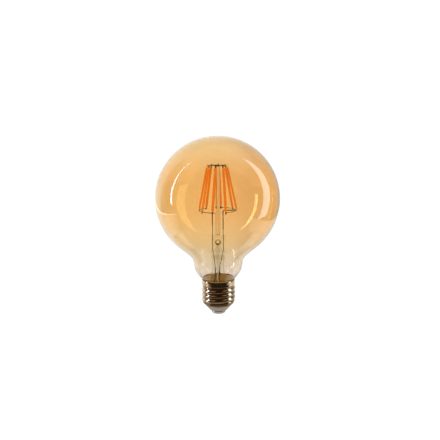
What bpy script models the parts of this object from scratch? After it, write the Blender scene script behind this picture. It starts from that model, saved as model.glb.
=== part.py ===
"""A smart LED filament globe bulb, 95 mm in diameter with an E27 screw cap, as separate parts.

Metres, +Z up. The origin is the middle of the centre contact's flat end, and the bulb's axis is Z.
Azimuths are in degrees from the front (-Y), positive towards +X.
Run with: blender --background --python part.py
"""

from math import atan2, cos, pi, radians, sin

import bmesh
import bpy
from mathutils import Matrix, Vector
from mathutils.geometry import interpolate_bezier

MM = 0.001

# Driving dimensions
OVERALL_HEIGHT = 138.0 * MM
GLOBE_RADIUS = 47.5 * MM
GLASS_WALL = 1.0 * MM
NECK_RADIUS = 19.1 * MM
NECK_END_RADIUS = 10.6 * MM
NECK_END_Z = 19.5 * MM
GAP = 0.3 * MM

# E27 screw cap
CAP_RIM_Z = 27.4 * MM
CAP_BAND_RADIUS = 12.8 * MM
CAP_END_Z = 8.0 * MM
THREAD_CREST_RADIUS = 13.1 * MM
THREAD_ROOT_RADIUS = 12.13 * MM
THREAD_PITCH = 25.4 * MM / 7
THREAD_TOP_Z = 22.6 * MM
THREAD_BOTTOM_Z = 9.4 * MM
THREAD_CREST_Z = 17.0 * MM
CAP_WALL = 0.3 * MM

# Glass stem
PRESS_TOP_Z = 62.0 * MM
PRESS_HALF_WIDTH = 5.5 * MM
STEM_TUBE_RADIUS = 4.9 * MM
STEM_BORE_RADIUS = 4.0 * MM
BLOW_HOLE_Z = 57.0 * MM
BLOW_HOLE_RADIUS = 1.7 * MM
EXHAUST_RADIUS = 1.6 * MM
EXHAUST_BORE_RADIUS = 0.95 * MM
EXHAUST_TIP_Z = 27.0 * MM
ROD_RADIUS = 2.0 * MM
ROD_TOP_Z = 114.8 * MM

# Light engine: eight straight filaments on a cone
STAR_FIRST_AZIMUTH = -144
STAR_SPACING = 45
FOOT_AZIMUTHS = (-142, -104, -52, -15, 25, 88, 127, 170)
FILAMENT_LENGTH = 32.4 * MM
FILAMENT_WIDTH = 2.1 * MM
FILAMENT_DEPTH = 1.5 * MM
FILAMENT_EDGE = 0.5 * MM
FILAMENT_TOP = Vector((7.65, 115.2)) * MM
FILAMENT_FOOT = Vector((14.65, 81.5)) * MM
TAB_LENGTH = 2.3 * MM
TAB_WIDTH = 0.9 * MM
TAB_THICKNESS = 0.25 * MM
TAB_GAP = 0.1 * MM
STAR_Z = 115.7 * MM
STAR_ARM_RADIUS = 6.8 * MM
STAR_LEG_LENGTH = 1.5 * MM
LOWER_RING_RADIUS = 13.9 * MM
LOWER_RING_Z = 81.5 * MM
RING_WIRE_RADIUS = 0.25 * MM
FRAME_WIRE_RADIUS = 0.35 * MM
LEAD_WIRE_RADIUS = 0.22 * MM
FRAME_WIRE_X = 4.1 * MM
WELD_DEPTH = 0.75 * MM
LEFT_RING_ANGLES = (-145, -8)
RIGHT_RING_ANGLES = (23, 176)
LEFT_FEED_AZIMUTH = -15
RIGHT_FEED_AZIMUTH = 88

# Driver electronics, standing upright in the cap
BOARD_HALF_WIDTH = 8.5 * MM
BOARD_NECK_HALF_WIDTH = 6.2 * MM
BOARD_BOTTOM_Z = 9.4 * MM
BOARD_STEP_Z = 18.8 * MM
BOARD_TOP_Z = 23.2 * MM
BOARD_THICKNESS = 1.0 * MM
BOARD_Y = 0.5 * MM
WIRELESS_Y = 3.2 * MM

GLOBE_STEPS = 36
CAP_STEPS = 32
SMALL_STEPS = 20

FINISHES = {
    "amber_glass": dict(colour=(0.95, 0.62, 0.22), roughness=0.02, transmission=1.0),
    "clear_glass": dict(colour=(0.93, 0.93, 0.88), roughness=0.02, transmission=1.0),
    "phosphor": dict(colour=(0.95, 0.33, 0.03), roughness=0.55),
    "nickel_wire": dict(colour=(0.45, 0.38, 0.30), roughness=0.35, metallic=1.0),
    "cap_nickel": dict(colour=(0.72, 0.66, 0.56), roughness=0.18, metallic=1.0),
    "contact_metal": dict(colour=(0.66, 0.65, 0.62), roughness=0.35, metallic=1.0),
    "insulator": dict(colour=(0.62, 0.58, 0.55), roughness=0.4),
    "cement": dict(colour=(0.48, 0.29, 0.07), roughness=0.8),
    "circuit_board": dict(colour=(0.06, 0.25, 0.12), roughness=0.45),
    "chip_black": dict(colour=(0.03, 0.03, 0.03), roughness=0.5),
    "capacitor_sleeve": dict(colour=(0.05, 0.06, 0.12), roughness=0.35),
    "ferrite": dict(colour=(0.09, 0.09, 0.1), roughness=0.6),
    "copper": dict(colour=(0.75, 0.33, 0.14), roughness=0.3, metallic=1.0),
    "solder": dict(colour=(0.7, 0.7, 0.72), roughness=0.25, metallic=1.0),
    "resistor_body": dict(colour=(0.35, 0.5, 0.6), roughness=0.5),
    "wire_insulation": dict(colour=(0.32, 0.25, 0.2), roughness=0.6),
    "liner_plastic": dict(colour=(0.82, 0.81, 0.78), roughness=0.5),
}


def clear_scene():
    for obj in list(bpy.data.objects):
        bpy.data.objects.remove(obj, do_unlink=True)


def new_collection(name):
    collection = bpy.data.collections.new(name)
    bpy.context.scene.collection.children.link(collection)
    return collection


def make_finish(name, colour, roughness, metallic=0.0, transmission=0.0):
    material = bpy.data.materials.new(name)
    material.use_nodes = True
    shader = material.node_tree.nodes["Principled BSDF"]
    shader.inputs["Base Color"].default_value = (*colour, 1.0)
    shader.inputs["Roughness"].default_value = roughness
    shader.inputs["Metallic"].default_value = metallic
    shader.inputs["Transmission Weight"].default_value = transmission
    return material


def keep(obj, finish):
    """Puts a finished part in the bulb's collection with its material."""
    BULB.objects.link(obj)
    obj.data.materials.append(bpy.data.materials[finish])
    return obj


def keep_cutter(obj):
    CUTTERS.objects.link(obj)
    obj.hide_render = True
    obj.display_type = "WIRE"
    return obj


def at_azimuth(radius, azimuth, z):
    angle = radians(azimuth)
    return Vector((radius * sin(angle), -radius * cos(angle), z))


def arc_points(centre, radius, start, end, count):
    """Points (r, z) on an arc about centre, from one angle to the other, in degrees above +r."""
    angles = [radians(start + (end - start) * i / count) for i in range(count + 1)]
    return [(centre[0] + radius * cos(a), centre[1] + radius * sin(a)) for a in angles]


def curve_points(start, start_handle, end_handle, end, count):
    """Points (r, z) on a Bezier curve given in millimetres, leaving out the first one."""
    knots = [Vector((r * MM, z * MM, 0.0)) for r, z in (start, start_handle, end_handle, end)]
    return [(p.x, p.y) for p in interpolate_bezier(*knots, count + 1)[1:]]


def in_mm(*points):
    return [(r * MM, z * MM) for r, z in points]


def turned(name, outline, steps=SMALL_STEPS, closed=True, wall=0.0):
    """A body turned about Z from (r, z) points that run down its outer side.

    closed joins the last point to the first. An open outline starts or ends on the axis, or takes a wall.
    """
    mesh = bpy.data.meshes.new(name)
    count = len(outline)
    edges = [(i, (i + 1) % count) for i in range(count if closed else count - 1)]
    mesh.from_pydata([(r, 0.0, z) for r, z in outline], edges, [])
    obj = bpy.data.objects.new(name, mesh)
    screw = obj.modifiers.new("Turn", "SCREW")
    screw.steps = steps
    screw.render_steps = steps
    screw.use_merge_vertices = True
    screw.merge_threshold = 0.000001
    screw.use_smooth_shade = True
    if wall:
        shell = obj.modifiers.new("Wall", "SOLIDIFY")
        shell.thickness = wall
        shell.offset = -1.0
        shell.use_even_offset = True
    return obj


def wire(name, points, radius, resolution=2):
    """A round wire along straight runs between points."""
    curve = bpy.data.curves.new(name, "CURVE")
    curve.dimensions = "3D"
    curve.bevel_depth = radius
    curve.bevel_resolution = resolution
    curve.use_fill_caps = True
    spline = curve.splines.new("POLY")
    spline.points.add(len(points) - 1)
    for knot, point in zip(spline.points, points):
        knot.co = (*point, 1.0)
    return bpy.data.objects.new(name, curve)


def bent_wire(name, corners, radius, bend, resolution=2):
    """A wire through corner points, with each inner corner rounded by three short runs."""
    points = [Vector(corners[0])]
    for before, corner, after in zip(corners, corners[1:], corners[2:]):
        corner = Vector(corner)
        start = corner + (Vector(before) - corner).normalized() * bend
        end = corner + (Vector(after) - corner).normalized() * bend
        middle = (start + end) / 4 + corner / 2
        points += [start, middle, end]
    points.append(Vector(corners[-1]))
    return wire(name, points, radius, resolution)


def block(name, size, centre, bevel=0.0):
    """A box with rounded edges, its size and centre in metres."""
    mesh = bpy.data.meshes.new(name)
    build = bmesh.new()
    bmesh.ops.create_cube(build, size=1.0)
    bmesh.ops.scale(build, vec=size, verts=build.verts)
    build.to_mesh(mesh)
    build.free()
    obj = bpy.data.objects.new(name, mesh)
    obj.location = centre
    if bevel:
        rounding = obj.modifiers.new("Rounding", "BEVEL")
        rounding.width = bevel
        rounding.segments = 1
    return obj


def rod_mesh(name, radius, length, steps, centre, rotation=(0.0, 0.0, 0.0)):
    """A plain cylinder about its own Z."""
    mesh = bpy.data.meshes.new(name)
    build = bmesh.new()
    bmesh.ops.create_cone(
        build, cap_ends=True, segments=steps, radius1=radius, radius2=radius, depth=length
    )
    build.to_mesh(mesh)
    build.free()
    obj = bpy.data.objects.new(name, mesh)
    obj.location = centre
    obj.rotation_euler = rotation
    return obj


def combine(obj, other, operation):
    modifier = obj.modifiers.new(operation.title(), "BOOLEAN")
    modifier.operation = operation
    modifier.object = other
    modifier.solver = "EXACT"


# Envelope and stem


def globe():
    """Blown envelope: a sphere, a waist and a bowl-shaped neck that is open at its sealing end."""
    centre = (0.0, OVERALL_HEIGHT - GLOBE_RADIUS)
    waist = (31.0, 54.5)
    leaving = atan2(waist[1] * MM - centre[1], waist[0] * MM)
    outline = arc_points(centre, GLOBE_RADIUS, 90, leaving * 180 / pi, 14)
    outline += curve_points(waist, (24.4, 48.9), (19.6, 45.7), (NECK_RADIUS / MM, 41.5), 5)
    outline += curve_points((NECK_RADIUS / MM, 41.5), (19.05, 36.2), (17.2, 32.6), (13.6, 29.0), 4)
    outline += curve_points((13.6, 29.0), (12.4, 27.9), (10.6, 27.4), (NECK_END_RADIUS / MM, 24.8), 3)
    outline.append((NECK_END_RADIUS, NECK_END_Z))
    keep(turned("globe", outline, GLOBE_STEPS, closed=False, wall=GLASS_WALL), "amber_glass")


def oval_ring(build, half_width, half_depth, squareness, z, sides):
    """Vertices of a superellipse, round at squareness 2 and boxier above it."""
    ring = []
    for i in range(sides):
        angle = 2 * pi * i / sides
        c, s = cos(angle), sin(angle)
        x = half_width * abs(c) ** (2 / squareness) * (1 if c >= 0 else -1)
        y = half_depth * abs(s) ** (2 / squareness) * (1 if s >= 0 else -1)
        ring.append(build.verts.new((x, y, z)))
    return ring


def lofted(name, sections, sides):
    """A solid through oval sections (half width, half depth, squareness, z) in millimetres, bottom first."""
    build = bmesh.new()
    rings = [
        oval_ring(build, w * MM, d * MM, squareness, z * MM, sides)
        for w, d, squareness, z in sections
    ]
    for lower, upper in zip(rings, rings[1:]):
        for i in range(sides):
            j = (i + 1) % sides
            build.faces.new((lower[i], lower[j], upper[j], upper[i]))
    build.faces.new(reversed(rings[0]))
    build.faces.new(rings[-1])
    mesh = bpy.data.meshes.new(name)
    build.to_mesh(mesh)
    build.free()
    return bpy.data.objects.new(name, mesh)


def stem_flare():
    """Flared tube, flattened at its top into the press that seals round the two leads."""
    tube = STEM_TUBE_RADIUS / MM
    wide = PRESS_HALF_WIDTH / MM
    top = PRESS_TOP_Z / MM
    sections = [
        (9.3, 9.3, 2.0, 19.9),
        (8.3, 8.3, 2.0, 22.0),
        (6.7, 6.7, 2.0, 26.0),
        (5.4, 5.4, 2.0, 31.0),
        (tube, tube, 2.0, 37.0),
        (tube, tube, 2.0, 46.0),
        (wide - 0.3, 4.5, 2.0, 50.0),
        (wide - 0.1, 3.2, 2.4, 53.0),
        (wide, 2.2, 2.8, 56.0),
        (wide, 2.1, 2.8, top - 0.5),
        (wide - 0.4, 1.7, 2.6, top),
    ]
    flare = keep(lofted("stem_flare", sections, 28), "clear_glass")
    bore = STEM_BORE_RADIUS / MM
    hollow = turned(
        "stem_hollow",
        in_mm((0, 52), (2.4, 51.4), (3.9, 49.5), (bore, 46), (bore, 37), (4.5, 31), (5.8, 26))
        + in_mm((7.4, 22), (8.4, 19.9), (8.9, 18.5), (0, 18.5)),
        SMALL_STEPS,
        closed=False,
    )
    combine(flare, keep_cutter(hollow), "DIFFERENCE")
    seat_radius = EXHAUST_RADIUS + GAP
    seat = rod_mesh("exhaust_seat", seat_radius, 7 * MM, 16, (0, 0, BLOW_HOLE_Z - 3.5 * MM))
    combine(flare, keep_cutter(seat), "DIFFERENCE")
    hole_length = 4 * MM
    blow_hole = rod_mesh(
        "blow_hole",
        BLOW_HOLE_RADIUS,
        hole_length,
        16,
        (0, 0.3 * MM - hole_length / 2, BLOW_HOLE_Z),
        (pi / 2, 0, 0),
    )
    combine(flare, keep_cutter(blow_hole), "DIFFERENCE")
    for side, sign in (("left", -1), ("right", 1)):
        channel = rod_mesh(
            f"lead_channel_{side}",
            LEAD_WIRE_RADIUS + GAP,
            14 * MM,
            12,
            (sign * FRAME_WIRE_X, 0, PRESS_TOP_Z - 6 * MM),
        )
        combine(flare, keep_cutter(channel), "DIFFERENCE")


def exhaust_tube():
    """Thin tube through which the globe was pumped and filled, open in the press and tipped off below."""
    top = BLOW_HOLE_Z - BLOW_HOLE_RADIUS - GAP
    tip = EXHAUST_TIP_Z
    outline = [
        (0.0, tip + 2.2 * MM),
        (EXHAUST_BORE_RADIUS, tip + 3.6 * MM),
        (EXHAUST_BORE_RADIUS, top),
        (EXHAUST_RADIUS, top),
        (EXHAUST_RADIUS, tip + 3.0 * MM),
        (1.25 * MM, tip + 1.3 * MM),
        (0.55 * MM, tip + 0.3 * MM),
        (0.0, tip),
    ]
    keep(turned("exhaust_tube", outline, 14, closed=False), "clear_glass")


def centre_rod():
    """Solid glass rod that stands on the press and carries the star."""
    bottom = PRESS_TOP_Z + GAP
    chamfer = 0.4 * MM
    outline = [
        (0.0, ROD_TOP_Z),
        (ROD_RADIUS - chamfer, ROD_TOP_Z),
        (ROD_RADIUS, ROD_TOP_Z - chamfer),
        (ROD_RADIUS, bottom + chamfer),
        (ROD_RADIUS - chamfer, bottom),
        (0.0, bottom),
    ]
    keep(turned("centre_rod", outline, 16, closed=False), "clear_glass")


# Light engine


def star_azimuths():
    return [STAR_FIRST_AZIMUTH + STAR_SPACING * i for i in range(len(FOOT_AZIMUTHS))]


def top_star():
    """Hub on the rod's end with a wire arm out and down to each filament's upper tab."""
    hub_bottom = ROD_TOP_Z + GAP
    hub_top = hub_bottom + 1.2 * MM
    hub_radius = 1.9 * MM
    outline = [
        (0.0, hub_top),
        (hub_radius - 0.3 * MM, hub_top),
        (hub_radius, hub_top - 0.3 * MM),
        (hub_radius, hub_bottom),
        (0.0, hub_bottom),
    ]
    star = keep(turned("top_star", outline, 16, closed=False), "nickel_wire")
    inner_radius = 1.45 * MM
    for number, azimuth in enumerate(star_azimuths(), start=1):
        corners = [
            at_azimuth(inner_radius, azimuth, STAR_Z),
            at_azimuth(STAR_ARM_RADIUS, azimuth, STAR_Z),
            at_azimuth(STAR_ARM_RADIUS, azimuth, STAR_Z - STAR_LEG_LENGTH),
        ]
        curve = bent_wire(f"star_arm_{number}_curve", corners, RING_WIRE_RADIUS, 0.5 * MM)
        combine(star, keep_cutter(solid_from_curve(curve, f"star_arm_{number}")), "UNION")


def solid_from_curve(curve, name):
    """A mesh object with the curve's solid, its end caps joined to its sides."""
    CUTTERS.objects.link(curve)
    bpy.context.view_layer.update()
    graph = bpy.context.evaluated_depsgraph_get()
    mesh = bpy.data.meshes.new_from_object(curve.evaluated_get(graph))
    mesh.name = name
    build = bmesh.new()
    build.from_mesh(mesh)
    bmesh.ops.remove_doubles(build, verts=build.verts, dist=0.000001)
    bmesh.ops.recalc_face_normals(build, faces=build.faces)
    build.to_mesh(mesh)
    build.free()
    obj = bpy.data.objects.new(name, mesh)
    obj.matrix_world = curve.matrix_world
    bpy.data.objects.remove(curve)
    return obj


def filament_frame(top_azimuth, foot_azimuth):
    """Matrix at a filament's middle: Z up along it, X across its width, Y towards the bulb's axis."""
    top = at_azimuth(FILAMENT_TOP.x, top_azimuth, FILAMENT_TOP.y)
    foot = at_azimuth(FILAMENT_FOOT.x, foot_azimuth, FILAMENT_FOOT.y)
    middle = (top + foot) / 2
    along = (top - foot).normalized()
    across = along.cross(Vector((middle.x, middle.y, 0.0))).normalized()
    inward = along.cross(across)
    rotation = Matrix((across, inward, along)).transposed().to_4x4()
    return Matrix.Translation(middle) @ rotation


def filaments():
    """Eight phosphor-coated strips, each with a metal tab at either end."""
    tab_centre = (FILAMENT_LENGTH + TAB_LENGTH) / 2 + TAB_GAP
    for number, (top_azimuth, foot_azimuth) in enumerate(zip(star_azimuths(), FOOT_AZIMUTHS), start=1):
        frame = filament_frame(top_azimuth, foot_azimuth)
        size = (FILAMENT_WIDTH, FILAMENT_DEPTH, FILAMENT_LENGTH)
        strip = block(f"filament_{number}", size, (0, 0, 0), FILAMENT_EDGE)
        strip.matrix_world = frame
        keep(strip, "phosphor")
        for end, sign in (("upper", 1), ("lower", -1)):
            size = (TAB_WIDTH, TAB_THICKNESS, TAB_LENGTH)
            tab = block(f"filament_{number}_{end}_tab", size, (0, 0, 0))
            tab.matrix_world = frame @ Matrix.Translation((0, 0, sign * tab_centre))
            keep(tab, "nickel_wire")


def lower_rings():
    """Two wire arcs, one per pole, that join four filament feet each."""
    for side, (start, end) in (("left", LEFT_RING_ANGLES), ("right", RIGHT_RING_ANGLES)):
        count = 13
        points = [
            at_azimuth(LOWER_RING_RADIUS, start + (end - start) * i / count, LOWER_RING_Z)
            for i in range(count + 1)
        ]
        keep(wire(f"lower_ring_{side}", points, RING_WIRE_RADIUS), "nickel_wire")


def frame_wires():
    """Stiff wires that hold the lower arcs: upright before the stem leads, then out to the arc."""
    reach = LOWER_RING_RADIUS - RING_WIRE_RADIUS - TAB_GAP
    ends = (("left", -1, 69.8 * MM, LEFT_FEED_AZIMUTH), ("right", 1, 66.6 * MM, RIGHT_FEED_AZIMUTH))
    for side, sign, foot_z, azimuth in ends:
        x = sign * FRAME_WIRE_X
        corners = [
            (x, -WELD_DEPTH, foot_z),
            (x, -WELD_DEPTH, LOWER_RING_Z),
            at_azimuth(reach, azimuth, LOWER_RING_Z),
        ]
        keep(bent_wire(f"frame_wire_{side}", corners, FRAME_WIRE_RADIUS, 1.0 * MM), "nickel_wire")


def stem_leads():
    """Leads sealed in the press: upright behind the frame wires, and drawn together below the press."""
    left = [(-4.1, 0, 73.4), (-4.1, 0, 50.2), (-3.2, -0.2, 46.5), (-2.3, -0.4, 37.4)]
    right = [(4.1, 0, 70.2), (4.1, 0, 50.2), (3.1, -0.6, 46.5), (0.9, -2.4, 38.4)]
    for side, route in (("left", left), ("right", right)):
        corners = [Vector(point) * MM for point in route]
        keep(bent_wire(f"stem_lead_{side}", corners, LEAD_WIRE_RADIUS, 0.5 * MM), "nickel_wire")


def outer_leads():
    """Insulated leads from the stem down to the driver board's front."""
    radius = 0.4 * MM
    left = [(-2.3, -0.4, 37.0), (-2.3, -0.9, 27.5), (-3.6, -1.0, 24.5), (-3.6, -0.9, 22.4)]
    right = [(0.9, -2.4, 38.0), (-0.9, -2.7, 28.0), (0.6, -1.6, 24.5), (0.6, -0.9, 22.4)]
    for side, route in (("left", left), ("right", right)):
        corners = [Vector(point) * MM for point in route]
        keep(bent_wire(f"outer_lead_{side}", corners, radius, 0.8 * MM), "wire_insulation")


# Screw cap


def thread_height(azimuth, z):
    """How far the rolled right-hand thread stands out of its root, fading out at both ends."""
    fade = 1.6 * MM
    inside = min(THREAD_TOP_Z - z, z - THREAD_BOTTOM_Z)
    strength = min(max(inside / fade, 0.0), 1.0)
    turn = (z - THREAD_CREST_Z) / THREAD_PITCH - azimuth / (2 * pi)
    wave = 0.5 + 0.5 * cos(2 * pi * turn)
    return (THREAD_CREST_RADIUS - THREAD_ROOT_RADIUS) * wave * strength


def cap_shell():
    """Thin metal shell: plain band at the rim, rolled thread, and an end curled in on the insulator."""
    band_end = THREAD_TOP_Z + 0.5 * MM
    rows = 23
    thread_rows = [
        (THREAD_ROOT_RADIUS, THREAD_TOP_Z + (THREAD_BOTTOM_Z - THREAD_TOP_Z) * i / rows)
        for i in range(rows + 1)
    ]
    outline = [
        (CAP_BAND_RADIUS, CAP_RIM_Z),
        (CAP_BAND_RADIUS, band_end + 0.6 * MM),
        (CAP_BAND_RADIUS - 0.25 * MM, band_end),
        *thread_rows,
        (12.0 * MM, 9.0 * MM),
        (11.55 * MM, 8.35 * MM),
        (10.9 * MM, CAP_END_Z),
    ]
    build = bmesh.new()
    profile = [build.verts.new((r, 0.0, z)) for r, z in outline]
    edges = [build.edges.new(pair) for pair in zip(profile, profile[1:])]
    bmesh.ops.spin(
        build,
        geom=[*profile, *edges],
        cent=(0, 0, 0),
        axis=(0, 0, 1),
        angle=2 * pi,
        steps=CAP_STEPS,
        use_merge=True,
    )
    bmesh.ops.remove_doubles(build, verts=build.verts, dist=0.000001)
    for vert in build.verts:
        outward = Vector((vert.co.x, vert.co.y, 0.0)).normalized()
        vert.co += outward * thread_height(atan2(vert.co.y, vert.co.x), vert.co.z)
    bmesh.ops.recalc_face_normals(build, faces=build.faces)
    top_ring = max(build.faces, key=lambda face: face.calc_center_median().z)
    centre = top_ring.calc_center_median()
    if top_ring.normal.dot(Vector((centre.x, centre.y, 0.0))) < 0:
        bmesh.ops.reverse_faces(build, faces=build.faces)
    mesh = bpy.data.meshes.new("cap_shell")
    build.to_mesh(mesh)
    build.free()
    shell = bpy.data.objects.new("cap_shell", mesh)
    wall = shell.modifiers.new("Wall", "SOLIDIFY")
    wall.thickness = CAP_WALL
    wall.offset = -1.0
    mesh.shade_smooth()
    keep(shell, "cap_nickel")


def cap_insulator():
    """Conical insulator between the shell's end and the centre contact, dished inside."""
    outline = in_mm(
        (11.3, 10.2),
        (11.3, 9.3),
        (10.4, 8.5),
        (10.4, 7.7),
        (10.6, 7.3),
        (7.3, 3.5),
        (6.8, 3.0),
        (2.8, 3.0),
        (2.8, 5.2),
        (3.4, 5.6),
        (8.6, 8.6),
        (9.6, 10.2),
    )
    keep(turned("cap_insulator", outline, 28), "insulator")


def centre_contact():
    """Dished contact button with a neck through the insulator."""
    outline = in_mm(
        (2.4, 5.0),
        (2.4, 2.65),
        (5.5, 2.65),
        (5.65, 1.7),
        (5.2, 0.7),
        (4.2, 0.0),
        (2.7, 0.0),
        (2.7, 0.9),
        (1.3, 0.9),
        (1.3, 5.0),
    )
    keep(turned("centre_contact", outline, 24), "contact_metal")


def contact_nail():
    """Solderless pin that clamps the live lead in the contact's neck."""
    outline = in_mm((0, 7.6), (0.7, 7.6), (0.9, 7.3), (0.9, 0.6), (2.4, 0.6), (2.4, 0), (0, 0))
    keep(turned("contact_nail", outline, 16, closed=False), "contact_metal")


def basing_cement():
    """Cement that bonds the neck in the cap and shows as a thin line at the rim."""
    outline = in_mm(
        (12.45, 28.0),
        (12.75, 27.8),
        (12.7, 27.55),
        (12.2, 27.5),
        (12.2, 23.4),
        (11.5, 22.2),
        (11.5, 20.4),
        (10.9, 20.4),
        (10.9, 24.9),
        (11.35, 26.75),
    )
    keep(turned("basing_cement", outline, GLOBE_STEPS), "cement")


# Driver electronics


def driver_board():
    """Upright circuit board, narrowed above to stand inside the flare."""
    corners = [
        (-BOARD_HALF_WIDTH, BOARD_BOTTOM_Z),
        (BOARD_HALF_WIDTH, BOARD_BOTTOM_Z),
        (BOARD_HALF_WIDTH, BOARD_STEP_Z),
        (BOARD_NECK_HALF_WIDTH, BOARD_STEP_Z),
        (BOARD_NECK_HALF_WIDTH, BOARD_TOP_Z),
        (-BOARD_NECK_HALF_WIDTH, BOARD_TOP_Z),
        (-BOARD_NECK_HALF_WIDTH, BOARD_STEP_Z),
        (-BOARD_HALF_WIDTH, BOARD_STEP_Z),
    ]
    curve = bpy.data.curves.new("driver_board", "CURVE")
    curve.dimensions = "2D"
    curve.fill_mode = "BOTH"
    curve.extrude = BOARD_THICKNESS / 2
    spline = curve.splines.new("POLY")
    spline.points.add(len(corners) - 1)
    for knot, (x, z) in zip(spline.points, corners):
        knot.co = (x, z, 0.0, 1.0)
    spline.use_cyclic_u = True
    board = bpy.data.objects.new("driver_board", curve)
    board.rotation_euler = (pi / 2, 0, 0)
    board.location = (0, BOARD_Y, 0)
    keep(board, "circuit_board")


def board_parts():
    """Parts that stand on the driver board's two faces."""
    front = BOARD_Y - BOARD_THICKNESS / 2 - GAP
    back = BOARD_Y + BOARD_THICKNESS / 2 + GAP
    capacitor = turned(
        "bulk_capacitor",
        in_mm((0, 4.2), (2.7, 4.2), (3.15, 3.8), (3.15, -3.0), (2.95, -3.3), (3.15, -3.6))
        + in_mm((3.15, -4.2), (0, -4.2)),
        SMALL_STEPS,
        closed=False,
    )
    capacitor.location = (-3.9 * MM, front - 3.2 * MM, 14.4 * MM)
    keep(capacitor, "capacitor_sleeve")

    drum = (3.8 * MM, front - 2.8 * MM, 13.2 * MM)
    core = turned(
        "inductor_core",
        in_mm((0, 2.6), (2.6, 2.6), (2.6, 1.8), (1.3, 1.8), (1.3, -1.8), (2.6, -1.8), (2.6, -2.6))
        + in_mm((0, -2.6)),
        SMALL_STEPS,
        closed=False,
    )
    core.location = drum
    keep(core, "ferrite")
    winding = turned("inductor_winding", in_mm((2.4, 1.5), (2.4, -1.5), (1.6, -1.5), (1.6, 1.5)))
    winding.location = drum
    keep(winding, "copper")

    chips = (
        ("driver_chip", (4.9, 1.5, 3.9), (2.9, -0.75, 19.2)),
        ("bridge_rectifier", (4.7, 1.4, 2.6), (-2.6, -0.7, 20.3)),
    )
    for name, size, (x, depth, z) in chips:
        centre = (x * MM, front + depth * MM, z * MM)
        keep(block(name, Vector(size) * MM, centre, 0.2 * MM), "chip_black")

    header = block("module_header", Vector((10, 1.1, 1.6)) * MM, (0, back + 0.55 * MM, 11.6 * MM))
    keep(header, "chip_black")


def wireless_module():
    """Radio board behind the driver board, its shield can, and its aerial up beside the exhaust tube."""
    thickness = 0.8 * MM
    height = 8.2 * MM
    bottom = 10.4 * MM
    centre_z = bottom + height / 2
    size = (13.0 * MM, thickness, height)
    keep(block("wireless_board", size, (0, WIRELESS_Y, centre_z)), "circuit_board")
    can_depth = 1.7 * MM
    can_y = WIRELESS_Y + thickness / 2 + GAP + can_depth / 2
    can = block("wireless_shield", (9.0 * MM, can_depth, 6.4 * MM), (0, can_y, centre_z), 0.3 * MM)
    keep(can, "solder")
    route = [(0.9, 3.4, 19.0), (0.9, 3.3, 24.0), (0.9, 2.9, 30.0), (0.9, 2.8, 36.0)]
    corners = [Vector(point) * MM for point in route]
    keep(bent_wire("aerial_wire", corners, 0.35 * MM, 0.8 * MM), "wire_insulation")


def mains_side():
    """The live side from the nail through the fusible resistor, and the shell's lead with its solder."""
    resistor_x, resistor_y = -8.0 * MM, 2.5 * MM
    body = turned(
        "fusible_resistor",
        in_mm((0, 2.8), (0.7, 2.8), (1.1, 2.4), (1.1, 1.6), (0.9, 1.2), (0.9, -1.2), (1.1, -1.6))
        + in_mm((1.1, -2.4), (0.7, -2.8), (0, -2.8)),
        14,
        closed=False,
    )
    body.location = (resistor_x, resistor_y, 14.0 * MM)
    keep(body, "resistor_body")
    route = [(-8.0, 2.5, 10.9), (-8.0, 2.5, 10.1), (-6.8, 2.1, 9.0), (-1.0, 0.3, 8.5), (0, 0, 7.9)]
    corners = [Vector(point) * MM for point in route]
    keep(bent_wire("live_lead", corners, 0.3 * MM, 0.3 * MM), "copper")

    shell_z = 17.6 * MM
    start = BOARD_HALF_WIDTH + GAP
    lead = wire("shell_lead", [(start, BOARD_Y, shell_z), (10.6 * MM, BOARD_Y, shell_z)], 0.25 * MM)
    keep(lead, "copper")
    bead = bpy.data.meshes.new("shell_solder")
    build = bmesh.new()
    bmesh.ops.create_uvsphere(build, u_segments=12, v_segments=8, radius=0.4 * MM)
    build.to_mesh(bead)
    build.free()
    solder = bpy.data.objects.new("shell_solder", bead)
    solder.location = (11.2 * MM, BOARD_Y, shell_z)
    keep(solder, "solder")


def driver_liner():
    """Plastic sleeve that keeps the driver off the shell."""
    outline = in_mm((11.3, 16.4), (11.3, 10.6), (10.6, 10.6), (10.6, 16.4))
    keep(turned("driver_liner", outline, 28), "liner_plastic")


clear_scene()
BULB = new_collection("smart_filament_bulb")
CUTTERS = new_collection("cutters")
for finish_name, finish_values in FINISHES.items():
    make_finish(finish_name, **finish_values)

globe()
stem_flare()
exhaust_tube()
centre_rod()
top_star()
filaments()
lower_rings()
frame_wires()
stem_leads()
outer_leads()
cap_shell()
cap_insulator()
centre_contact()
contact_nail()
basing_cement()
driver_board()
board_parts()
wireless_module()
mains_side()
driver_liner()
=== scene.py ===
"""The looks of the smart filament globe bulb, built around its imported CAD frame.

Metres, +Z up, with the origin at the middle of the centre contact's flat end.
Azimuths are in degrees from the front (-Y), positive towards +X.
"""

from math import atan2, cos, exp, pi, radians, sin

import bmesh
import bpy
from mathutils import Matrix, Vector, noise
from mathutils.geometry import interpolate_bezier


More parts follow.
